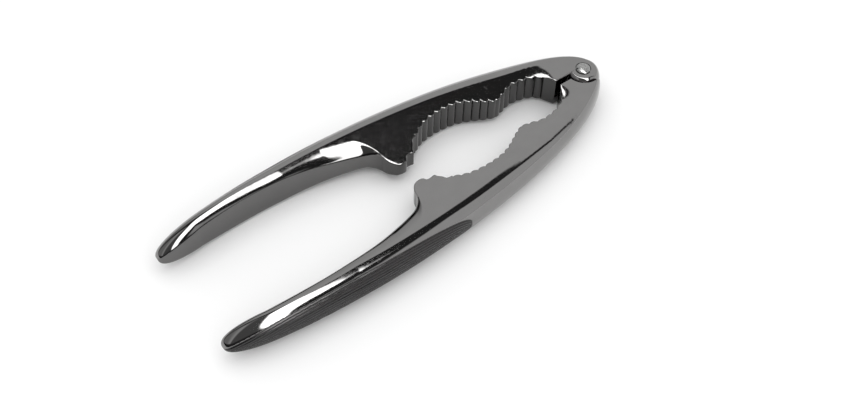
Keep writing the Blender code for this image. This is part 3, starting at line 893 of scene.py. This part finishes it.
def mirrored_light(nodes, climb, side):
    """What the plating mirrors: pale walls, a dark band that leans across overhead, a soft box beyond it, and
    darkness to the box's right, to its left and low behind it.
    """
    middle = nodes.math("MINIMUM", nodes.scaled(side, *BAND_LINE), BAND_HIGHEST)
    over = nodes.math("SUBTRACT", climb, middle)
    narrowing = nodes.scaled(nodes.math("MAXIMUM", side, BAND_NARROWS_FROM), BAND_NARROWS, 0.0)
    band = nodes.ramp(nodes.math("ADD", nodes.math("ABSOLUTE", over), narrowing), *BAND_FADE)
    right = nodes.past_line(side, climb, BOX_RIGHT_LINE)
    left = nodes.past_line(side, climb, BOX_LEFT_LINE)
    front = nodes.past_line(climb, side, BOX_FRONT_LINE)
    box = nodes.product(nodes.ramp(front, *BOX_FRONT_FADE), nodes.ramp(climb, *BOX_BACK_FADE),
                        nodes.ramp(right, *BOX_RIGHT_FADE), nodes.ramp(left, *BOX_LEFT_FADE),
                        nodes.ramp(side, *BOX_CORNER_FADE))
    shade = nodes.product(nodes.ramp(climb, *SHADE_RISES), nodes.ramp(left, *SHADE_FADE),
                          nodes.ramp(side, *SHADE_SIDE, 0.0, SHADE_DEPTH))
    strip = nodes.product(nodes.ramp(right, *STRIP_STARTS), nodes.ramp(right, *STRIP_ENDS),
                          nodes.ramp(over, *STRIP_RISES))
    low = nodes.product(nodes.ramp(climb, *BACK_DARK), nodes.ramp(side, *BACK_DARK_SIDE))
    dark = nodes.math("MAXIMUM", nodes.math("MAXIMUM", band, strip), nodes.math("MAXIMUM", low, shade))
    walls = nodes.product(nodes.ramp(side, *WALL_LIGHT_SIDE, *WALL_LIGHT), nodes.scaled(dark, -DARKENING, 1.0))
    return nodes.math("ADD", walls, nodes.math("MULTIPLY", box, BOX_LIGHT))


def surroundings():
    """The studio as the plating mirrors it, and even light for everything else.

    A direction is read as two angles: the climb, from the far horizon over the top, and the side, to the right.
    """
    world = bpy.data.worlds.new("studio")
    world.use_nodes = True
    nodes = Nodes(world.node_tree)
    background = world.node_tree.nodes["Background"]
    where = nodes.new("ShaderNodeTexCoord").outputs["Generated"]
    upwards = nodes.dot(where, (0, 0, 1))
    climb = nodes.math("DEGREES", nodes.math("ARCTAN2", upwards, nodes.dot(where, LOOK_ACROSS)))
    side = nodes.math("DEGREES", nodes.math("ARCSINE", nodes.dot(where, LOOK_RIGHT)))
    mirrored = nodes.new("ShaderNodeLightPath").outputs["Is Glossy Ray"]
    even = nodes.math("MULTIPLY", nodes.math("SUBTRACT", 1.0, mirrored), EVEN_LIGHT)
    level = nodes.math("ADD", nodes.product(mirrored_light(nodes, climb, side), mirrored), even)
    background.inputs["Color"].default_value = (1, 1, 1, 1)
    nodes.link(nodes.math("MULTIPLY", level, settings().studio.light), background.inputs["Strength"])
    bpy.context.scene.world = world


def add_fill():
    """A wide square light straight overhead, which the plating doesn't mirror."""
    light = bpy.data.lights.new("overhead_fill", "AREA")
    light.shape = "RECTANGLE"
    light.size = light.size_y = FILL_SIZE
    light.energy = FILL_WATTS * settings().studio.light
    obj = bpy.data.objects.new("overhead_fill", light)
    obj.location = (0, 0, FILL_HEIGHT)
    obj.rotation_euler = Vector((0, 0, -FILL_HEIGHT)).to_track_quat("-Z", "Y").to_euler()
    obj.visible_glossy = False
    obj.visible_camera = False
    bpy.context.scene.collection.objects.link(obj)


def add_camera():
    """Looks down on the tool from the left of its near side, with the horizon slightly turned."""
    data = bpy.data.cameras.new("camera")
    data.lens = settings().studio.lens
    data.sensor_width = SENSOR_WIDTH
    data.clip_start = CLIP_START
    camera = bpy.data.objects.new("camera", data)
    right, forward = CAMERA_RIGHT.normalized(), CAMERA_FORWARD.normalized()
    up = right.cross(forward).normalized()
    turn = Matrix((right, up, -forward)).transposed()
    camera.matrix_world = Matrix.Translation(CAMERA_PLACE) @ turn.to_4x4()
    bpy.context.scene.collection.objects.link(camera)
    bpy.context.scene.camera = camera


def add_floor():
    """A wide flat sheet under the tool, as an even grid."""
    steps = np.linspace(-FLOOR_REACH, FLOOR_REACH, FLOOR_STEPS)
    x, y = np.meshgrid(steps, steps, indexing="ij")
    points = np.dstack([x, y, np.zeros_like(x)]).reshape(-1, 3)
    row = np.arange(FLOOR_STEPS - 1)[:, None] * FLOOR_STEPS + np.arange(FLOOR_STEPS - 1)[None, :]
    corners = (row, row + FLOOR_STEPS, row + FLOOR_STEPS + 1, row + 1)
    mesh = bpy.data.meshes.new("floor")
    mesh.from_pydata(points.tolist(), [], np.stack(corners, axis=-1).reshape(-1, 4).tolist())
    floor = add_object("floor", mesh, floor_material())


# ---- Operators ----

class NUTCRACKER_OT_levers(bpy.types.Operator):
    """Build both plated levers with their teeth, grips and knuckles"""
    bl_idname = "nutcracker.levers"
    bl_label = "Levers"

    def execute(self, context):
        plating = plating_material()
        for name, node, body, near in (("lever_far_casting", "lever_far", "far_half", False),
                                       ("lever_near_casting", "lever_near", "near_half", True)):
            piece = add_object(name, lever_mesh(name, near), plating)
            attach(piece, body)
            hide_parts(node)
        return {"FINISHED"}


class NUTCRACKER_OT_rivet(bpy.types.Operator):
    """Build the domed rivet that both levers turn on"""
    bl_idname = "nutcracker.rivet"
    bl_label = "Rivet"

    def execute(self, context):
        piece = add_object("domed_rivet", rivet_mesh(), rivet_material())
        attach(piece, "far_half")
        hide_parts("hinge_rivet")
        return {"FINISHED"}


class NUTCRACKER_OT_stage(bpy.types.Operator):
    """Set up the floor, the light and the camera"""
    bl_idname = "nutcracker.stage"
    bl_label = "Stage"

    def execute(self, context):
        surroundings()
        add_floor()
        add_fill()
        add_camera()
        context.scene.view_settings.view_transform = "Standard"
        return {"FINISHED"}


class NUTCRACKER_PT_panel(bpy.types.Panel):
    """Lists the pieces in the order they are built"""
    bl_label = "Nutcracker"
    bl_idname = "NUTCRACKER_PT_panel"
    bl_space_type = "VIEW_3D"
    bl_region_type = "UI"
    bl_category = "Nutcracker"

    def draw(self, context):
        for operator in OPERATORS:
            self.layout.operator(operator.bl_idname)


SETTINGS = {
    "lever_plan": LeverPlan,
    "lever_section": LeverSection,
    "grip": Grip,
    "hinge_sizes": HingeSizes,
    "finish": Finish,
    "studio": Studio,
}
OPERATORS = (NUTCRACKER_OT_levers, NUTCRACKER_OT_rivet, NUTCRACKER_OT_stage)
CLASSES = (*SETTINGS.values(), *OPERATORS, NUTCRACKER_PT_panel)


def register():
    for cls in CLASSES:
        bpy.utils.register_class(cls)
    for name, group in SETTINGS.items():
        setattr(bpy.types.Scene, name, PointerProperty(type=group))


def unregister():
    for name in SETTINGS:
        delattr(bpy.types.Scene, name)
    for cls in reversed(CLASSES):
        bpy.utils.unregister_class(cls)


def main():
    register()
    bpy.ops.nutcracker.levers()
    bpy.ops.nutcracker.rivet()
    bpy.ops.nutcracker.stage()


if __name__ == "__main__":
    main()
